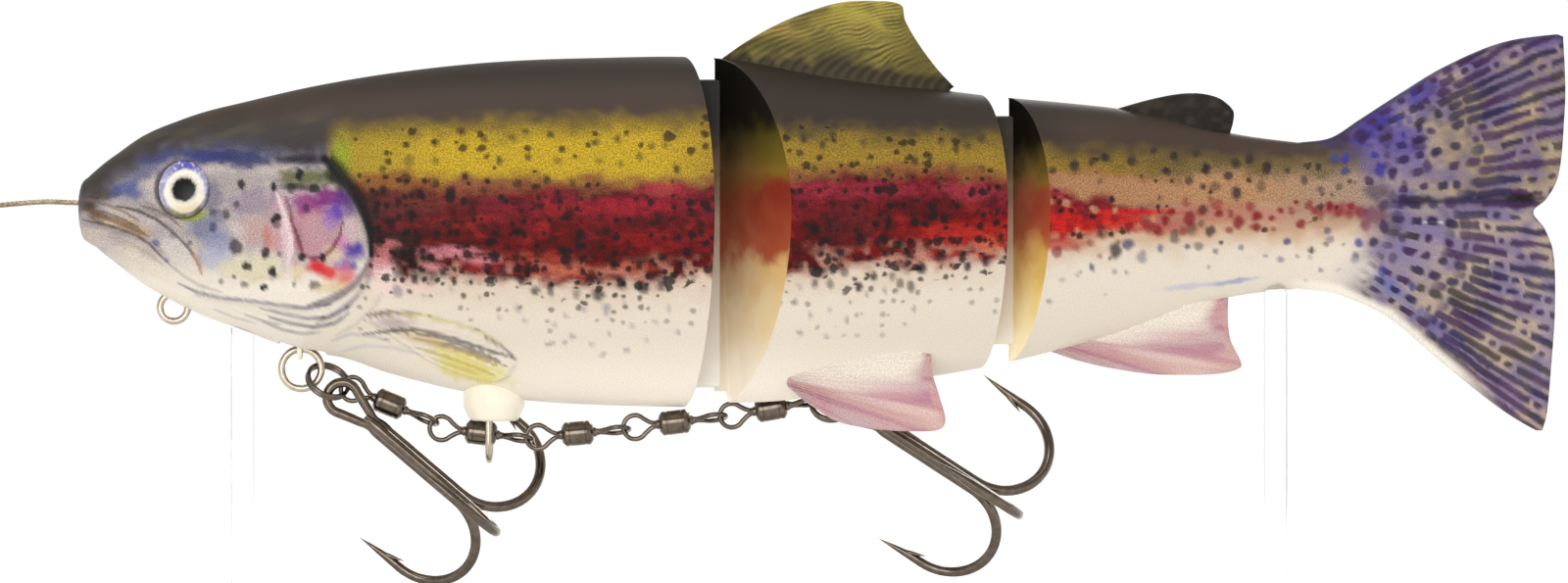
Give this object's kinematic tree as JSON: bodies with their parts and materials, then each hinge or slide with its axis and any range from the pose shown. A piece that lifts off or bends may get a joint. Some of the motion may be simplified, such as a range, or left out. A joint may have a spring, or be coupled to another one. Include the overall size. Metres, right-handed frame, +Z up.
{
  "type": "jointed fishing lure on display stand",
  "caption": "Jointed soft fishing lure shaped and painted as a rainbow trout, with wire leader, swivel chain and treble hooks, held on a flat display stand.",
  "frame": {"origin": "middle of the underside of the display stand, on the middle plane of the lure", "axes": "+X from the lure's nose towards its tail, +Y towards its right flank, +Z up"},
  "size_m": [0.2452, 0.056, 0.093],
  "materials": {
    "printed_body": "soft plastic printed with a natural rainbow trout pattern: grey-brown back, gold band, crimson stripe, cream belly, dark spots; satin clear coat",
    "joint_plastic": "translucent amber soft plastic, unprinted",
    "fin_plastic": "printed soft plastic with moulded fin rays, satin",
    "eye_resin": "domed clear resin over a printed pearl iris and black pupil",
    "clear_plastic": "milky translucent plastic",
    "bright_wire": "polished stainless wire",
    "black_nickel": "black nickel plated steel, glossy",
    "stand_white": "satin white",
    "stand_rod": "clear acrylic rod, polished"
  },
  "bodies": {
    "front": {"stand_base": "stand_white", "stand_rod_front": "stand_rod", "stand_rod_rear": "stand_rod", "head": "printed_body", "lower_jaw": "printed_body", "front_trunk": "printed_body", "eye_left": "eye_resin", "eye_right": "eye_resin", "gill_cover_left": "printed_body", "gill_cover_right": "printed_body", "pectoral_fin_left": "fin_plastic", "pectoral_fin_right": "fin_plastic", "front_web": "joint_plastic", "chin_loop": "bright_wire", "belly_post": "clear_plastic", "belly_loop": "bright_wire", "leader_exit_loop": "bright_wire", "belly_ring": "bright_wire", "front_split_ring": "black_nickel", "swivel_1_wire": "black_nickel", "swivel_2_wire": "black_nickel", "swivel_3_wire": "black_nickel", "swivel_4_wire": "black_nickel", "leader_wire": "bright_wire", "leader_crimp": "bright_wire", "leader_loop": "bright_wire"},
    "middle": {"middle_trunk": "printed_body", "dorsal_fin": "fin_plastic", "pelvic_fin_left": "fin_plastic", "pelvic_fin_right": "fin_plastic", "rear_web": "joint_plastic", "swivel_5_wire": "black_nickel", "rear_split_ring": "black_nickel"},
    "tail": {"tail_trunk": "printed_body", "adipose_fin": "fin_plastic", "anal_fin": "fin_plastic", "caudal_fin": "fin_plastic"},
    "front_hook": {"front_treble_hook": "black_nickel"},
    "rear_hook": {"rear_treble_hook": "black_nickel"},
    "barrel_1": {"swivel_1_barrel": "black_nickel"},
    "barrel_2": {"swivel_2_barrel": "black_nickel"},
    "barrel_3": {"swivel_3_barrel": "black_nickel"},
    "barrel_4": {"swivel_4_barrel": "black_nickel"},
    "barrel_5": {"swivel_5_barrel": "black_nickel"}
  },
  "joints": [
    {"name": "middle_bend", "type": "hinge", "parent": "front", "child": "middle", "pos_m": [-0.01457, 0, 0.062], "axis": [0, 0, 1], "range_deg": [-30, 30], "stiffness_Nm_per_rad": 0.02},
    {"name": "tail_bend", "type": "hinge", "parent": "middle", "child": "tail", "pos_m": [0.02505, 0, 0.062], "axis": [0, 0, 1], "range_deg": [-25, 25], "stiffness_Nm_per_rad": 0.02},
    {"name": "front_hook_swing", "type": "hinge", "parent": "front", "child": "front_hook", "pos_m": [-0.0644, -0.00124, 0.0396], "axis": [0, 1, 0], "range_deg": [-3, 50]},
    {"name": "rear_hook_swing", "type": "hinge", "parent": "middle", "child": "rear_hook", "pos_m": [0.0033, 0, 0.039], "axis": [0, 1, 0], "range_deg": [-3, 57]},
    {"name": "trace_barrel_1_spin", "type": "hinge", "parent": "front", "child": "barrel_1", "pos_m": [-0.05815, 0, 0.03877], "axis": [0.9272, 0, -0.3746], "continuous": true},
    {"name": "trace_barrel_2_spin", "type": "hinge", "parent": "front", "child": "barrel_2", "pos_m": [-0.04585, 0, 0.03485], "axis": [0.9925, 0, -0.1219], "continuous": true},
    {"name": "trace_barrel_3_spin", "type": "hinge", "parent": "front", "child": "barrel_3", "pos_m": [-0.03285, 0, 0.0348], "axis": [0.9962, 0, 0.0872], "continuous": true},
    {"name": "trace_barrel_4_spin", "type": "hinge", "parent": "front", "child": "barrel_4", "pos_m": [-0.0198, 0, 0.0363], "axis": [0.9925, 0, 0.1219], "continuous": true},
    {"name": "trace_barrel_5_spin", "type": "hinge", "parent": "middle", "child": "barrel_5", "pos_m": [-0.00685, 0, 0.03815], "axis": [0.9848, 0, 0.1736], "continuous": true}
  ]
}
